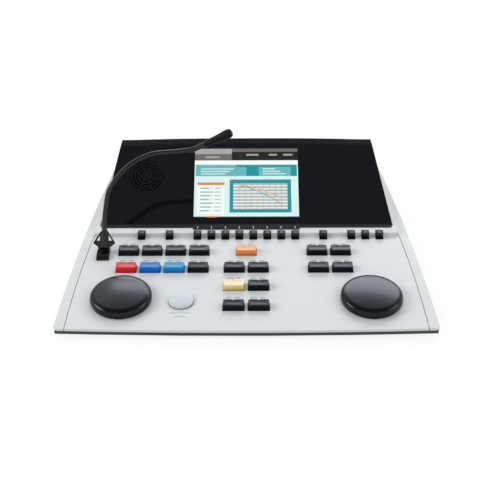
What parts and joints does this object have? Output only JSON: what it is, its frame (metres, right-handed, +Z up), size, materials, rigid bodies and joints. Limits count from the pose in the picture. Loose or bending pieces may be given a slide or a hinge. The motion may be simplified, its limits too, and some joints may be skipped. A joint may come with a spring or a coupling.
{
  "type": "audiometer",
  "caption": "Desktop audiometer: light wedge casing with push keys, two level dials and a talk button, black display hood and a gooseneck microphone.",
  "frame": {"origin": "centre of the footprint of the whole part, on the table", "axes": "+X to the operator's right, +Y to the rear, +Z up; the operator sits at -Y"},
  "size_m": [0.3648, 0.295, 0.1252],
  "materials": {
    "casing_white": "fine textured light grey-white",
    "tray_grey": "dark grey",
    "hood_black": "satin black",
    "pane": "clear",
    "display": "lit colour display",
    "speaker": "black",
    "board": "green solder mask",
    "silicone": "translucent",
    "metal": "nickel plated",
    "dial_black": "satin top, glossy rim",
    "button_pale": "translucent pale grey",
    "rubber_black": "matt black",
    "connector_black": "black",
    "key_black": "satin black",
    "key_orange": "orange",
    "key_red": "red",
    "key_blue": "blue",
    "key_teal": "teal blue",
    "key_cream": "cream yellow"
  },
  "bodies": {
    "casing": {"top_casing": "casing_white", "left_rail": "casing_white", "right_rail": "casing_white", "bottom_tray": "tray_grey", "rear_plate": "tray_grey", "display_hood": "hood_black", "display_window": "pane", "lcd_module": "display", "monitor_speaker": "speaker", "main_board": "board", "key_board": "board", "key_membrane": "silicone", "dial_encoders": "metal", "mic_base": "hood_black", "jack_sockets": "connector_black", "power_inlet": "connector_black", "usb_port": "metal", "switch_frame": "connector_black", "rubber_feet": "rubber_black", "case_screws": "metal"},
    "left_dial": {"left_dial": "dial_black"},
    "right_dial": {"right_dial": "dial_black"},
    "talk_button": {"talk_button": "button_pale"},
    "microphone": {"mic_collar": "rubber_black", "mic_gooseneck": "rubber_black", "mic_capsule": "speaker"},
    "power_rocker": {"power_rocker": "connector_black"},
    "key_1_1": {"key_1_1": "key_black"},
    "key_1_2": {"key_1_2": "key_black"},
    "key_1_3": {"key_1_3": "key_black"},
    "key_1_4": {"key_1_4": "key_black"},
    "key_1_5": {"key_1_5": "key_orange"},
    "key_1_6": {"key_1_6": "key_black"},
    "key_1_7": {"key_1_7": "key_black"},
    "key_2_1": {"key_2_1": "key_red"},
    "key_2_2": {"key_2_2": "key_blue"},
    "key_2_3": {"key_2_3": "key_teal"},
    "key_2_4": {"key_2_4": "key_black"},
    "key_2_5": {"key_2_5": "key_black"},
    "key_2_6": {"key_2_6": "key_black"},
    "key_2_7": {"key_2_7": "key_black"},
    "key_2_8": {"key_2_8": "key_black"},
    "key_3_1": {"key_3_1": "key_cream"},
    "key_3_2": {"key_3_2": "key_black"},
    "key_4_1": {"key_4_1": "key_black"},
    "key_4_2": {"key_4_2": "key_black"},
    "soft_key_01": {"soft_key_01": "key_black"},
    "soft_key_02": {"soft_key_02": "key_black"},
    "soft_key_03": {"soft_key_03": "key_black"},
    "soft_key_04": {"soft_key_04": "key_black"},
    "soft_key_05": {"soft_key_05": "key_black"},
    "soft_key_06": {"soft_key_06": "key_black"},
    "soft_key_07": {"soft_key_07": "key_black"},
    "soft_key_08": {"soft_key_08": "key_black"},
    "soft_key_09": {"soft_key_09": "key_black"},
    "soft_key_10": {"soft_key_10": "key_black"},
    "soft_key_11": {"soft_key_11": "key_black"},
    "soft_key_12": {"soft_key_12": "key_black"},
    "soft_key_13": {"soft_key_13": "key_black"},
    "soft_key_14": {"soft_key_14": "key_black"}
  },
  "joints": [
    {"name": "key_1_1_press", "type": "slide", "parent": "casing", "child": "key_1_1", "axis": [0, 0.0523, -0.9986], "range_m": [0, 0.001], "stiffness_N_per_m": 500, "springref_m": -0.002},
    {"name": "key_1_2_press", "type": "slide", "parent": "casing", "child": "key_1_2", "axis": [0, 0.0523, -0.9986], "range_m": [0, 0.001], "stiffness_N_per_m": 500, "springref_m": -0.002},
    {"name": "key_1_3_press", "type": "slide", "parent": "casing", "child": "key_1_3", "axis": [0, 0.0523, -0.9986], "range_m": [0, 0.001], "stiffness_N_per_m": 500, "springref_m": -0.002},
    {"name": "key_1_4_press", "type": "slide", "parent": "casing", "child": "key_1_4", "axis": [0, 0.0523, -0.9986], "range_m": [0, 0.001], "stiffness_N_per_m": 500, "springref_m": -0.002},
    {"name": "key_1_5_press", "type": "slide", "parent": "casing", "child": "key_1_5", "axis": [0, 0.0523, -0.9986], "range_m": [0, 0.001], "stiffness_N_per_m": 500, "springref_m": -0.002},
    {"name": "key_1_6_press", "type": "slide", "parent": "casing", "child": "key_1_6", "axis": [0, 0.0523, -0.9986], "range_m": [0, 0.001], "stiffness_N_per_m": 500, "springref_m": -0.002},
    {"name": "key_1_7_press", "type": "slide", "parent": "casing", "child": "key_1_7", "axis": [0, 0.0523, -0.9986], "range_m": [0, 0.001], "stiffness_N_per_m": 500, "springref_m": -0.002},
    {"name": "key_2_1_press", "type": "slide", "parent": "casing", "child": "key_2_1", "axis": [0, 0.0523, -0.9986], "range_m": [0, 0.001], "stiffness_N_per_m": 500, "springref_m": -0.002},
    {"name": "key_2_2_press", "type": "slide", "parent": "casing", "child": "key_2_2", "axis": [0, 0.0523, -0.9986], "range_m": [0, 0.001], "stiffness_N_per_m": 500, "springref_m": -0.002},
    {"name": "key_2_3_press", "type": "slide", "parent": "casing", "child": "key_2_3", "axis": [0, 0.0523, -0.9986], "range_m": [0, 0.001], "stiffness_N_per_m": 500, "springref_m": -0.002},
    {"name": "key_2_4_press", "type": "slide", "parent": "casing", "child": "key_2_4", "axis": [0, 0.0523, -0.9986], "range_m": [0, 0.001], "stiffness_N_per_m": 500, "springref_m": -0.002},
    {"name": "key_2_5_press", "type": "slide", "parent": "casing", "child": "key_2_5", "axis": [0, 0.0523, -0.9986], "range_m": [0, 0.001], "stiffness_N_per_m": 500, "springref_m": -0.002},
    {"name": "key_2_6_press", "type": "slide", "parent": "casing", "child": "key_2_6", "axis": [0, 0.0523, -0.9986], "range_m": [0, 0.001], "stiffness_N_per_m": 500, "springref_m": -0.002},
    {"name": "key_2_7_press", "type": "slide", "parent": "casing", "child": "key_2_7", "axis": [0, 0.0523, -0.9986], "range_m": [0, 0.001], "stiffness_N_per_m": 500, "springref_m": -0.002},
    {"name": "key_2_8_press", "type": "slide", "parent": "casing", "child": "key_2_8", "axis": [0, 0.0523, -0.9986], "range_m": [0, 0.001], "stiffness_N_per_m": 500, "springref_m": -0.002},
    {"name": "key_3_1_press", "type": "slide", "parent": "casing", "child": "key_3_1", "axis": [0, 0.0523, -0.9986], "range_m": [0, 0.001], "stiffness_N_per_m": 500, "springref_m": -0.002},
    {"name": "key_3_2_press", "type": "slide", "parent": "casing", "child": "key_3_2", "axis": [0, 0.0523, -0.9986], "range_m": [0, 0.001], "stiffness_N_per_m": 500, "springref_m": -0.002},
    {"name": "key_4_1_press", "type": "slide", "parent": "casing", "child": "key_4_1", "axis": [0, 0.0523, -0.9986], "range_m": [0, 0.001], "stiffness_N_per_m": 500, "springref_m": -0.002},
    {"name": "key_4_2_press", "type": "slide", "parent": "casing", "child": "key_4_2", "axis": [0, 0.0523, -0.9986], "range_m": [0, 0.001], "stiffness_N_per_m": 500, "springref_m": -0.002},
    {"name": "soft_key_01_press", "type": "slide", "parent": "casing", "child": "soft_key_01", "axis": [0, 0.0523, -0.9986], "range_m": [0, 0.001], "stiffness_N_per_m": 150, "springref_m": -0.003},
    {"name": "soft_key_02_press", "type": "slide", "parent": "casing", "child": "soft_key_02", "axis": [0, 0.0523, -0.9986], "range_m": [0, 0.001], "stiffness_N_per_m": 150, "springref_m": -0.003},
    {"name": "soft_key_03_press", "type": "slide", "parent": "casing", "child": "soft_key_03", "axis": [0, 0.0523, -0.9986], "range_m": [0, 0.001], "stiffness_N_per_m": 150, "springref_m": -0.003},
    {"name": "soft_key_04_press", "type": "slide", "parent": "casing", "child": "soft_key_04", "axis": [0, 0.0523, -0.9986], "range_m": [0, 0.001], "stiffness_N_per_m": 150, "springref_m": -0.003},
    {"name": "soft_key_05_press", "type": "slide", "parent": "casing", "child": "soft_key_05", "axis": [0, 0.0523, -0.9986], "range_m": [0, 0.001], "stiffness_N_per_m": 150, "springref_m": -0.003},
    {"name": "soft_key_06_press", "type": "slide", "parent": "casing", "child": "soft_key_06", "axis": [0, 0.0523, -0.9986], "range_m": [0, 0.001], "stiffness_N_per_m": 150, "springref_m": -0.003},
    {"name": "soft_key_07_press", "type": "slide", "parent": "casing", "child": "soft_key_07", "axis": [0, 0.0523, -0.9986], "range_m": [0, 0.001], "stiffness_N_per_m": 150, "springref_m": -0.003},
    {"name": "soft_key_08_press", "type": "slide", "parent": "casing", "child": "soft_key_08", "axis": [0, 0.0523, -0.9986], "range_m": [0, 0.001], "stiffness_N_per_m": 150, "springref_m": -0.003},
    {"name": "soft_key_09_press", "type": "slide", "parent": "casing", "child": "soft_key_09", "axis": [0, 0.0523, -0.9986], "range_m": [0, 0.001], "stiffness_N_per_m": 150, "springref_m": -0.003},
    {"name": "soft_key_10_press", "type": "slide", "parent": "casing", "child": "soft_key_10", "axis": [0, 0.0523, -0.9986], "range_m": [0, 0.001], "stiffness_N_per_m": 150, "springref_m": -0.003},
    {"name": "soft_key_11_press", "type": "slide", "parent": "casing", "child": "soft_key_11", "axis": [0, 0.0523, -0.9986], "range_m": [0, 0.001], "stiffness_N_per_m": 150, "springref_m": -0.003},
    {"name": "soft_key_12_press", "type": "slide", "parent": "casing", "child": "soft_key_12", "axis": [0, 0.0523, -0.9986], "range_m": [0, 0.001], "stiffness_N_per_m": 150, "springref_m": -0.003},
    {"name": "soft_key_13_press", "type": "slide", "parent": "casing", "child": "soft_key_13", "axis": [0, 0.0523, -0.9986], "range_m": [0, 0.001], "stiffness_N_per_m": 150, "springref_m": -0.003},
    {"name": "soft_key_14_press", "type": "slide", "parent": "casing", "child": "soft_key_14", "axis": [0, 0.0523, -0.9986], "range_m": [0, 0.001], "stiffness_N_per_m": 150, "springref_m": -0.003},
    {"name": "talk_press", "type": "slide", "parent": "casing", "child": "talk_button", "axis": [0, 0.0523, -0.9986], "range_m": [0, 0.001], "stiffness_N_per_m": 500, "springref_m": -0.002},
    {"name": "left_dial_turn", "type": "hinge", "parent": "casing", "child": "left_dial", "pos_m": [-0.1222, -0.10207, 0.0162], "axis": [0, -0.0523, 0.9986], "continuous": true},
    {"name": "right_dial_turn", "type": "hinge", "parent": "casing", "child": "right_dial", "pos_m": [0.1222, -0.10207, 0.0162], "axis": [0, -0.0523, 0.9986], "continuous": true},
    {"name": "mic_swivel", "type": "hinge", "parent": "casing", "child": "microphone", "pos_m": [-0.147, -0.02787, 0.02009], "axis": [0, -0.0523, 0.9986], "range_deg": [-35, 25]},
    {"name": "power_rock", "type": "hinge", "parent": "casing", "child": "power_rocker", "pos_m": [0.09, 0.1413, 0.016], "axis": [1, 0, 0], "range_deg": [0, 14]}
  ]
}
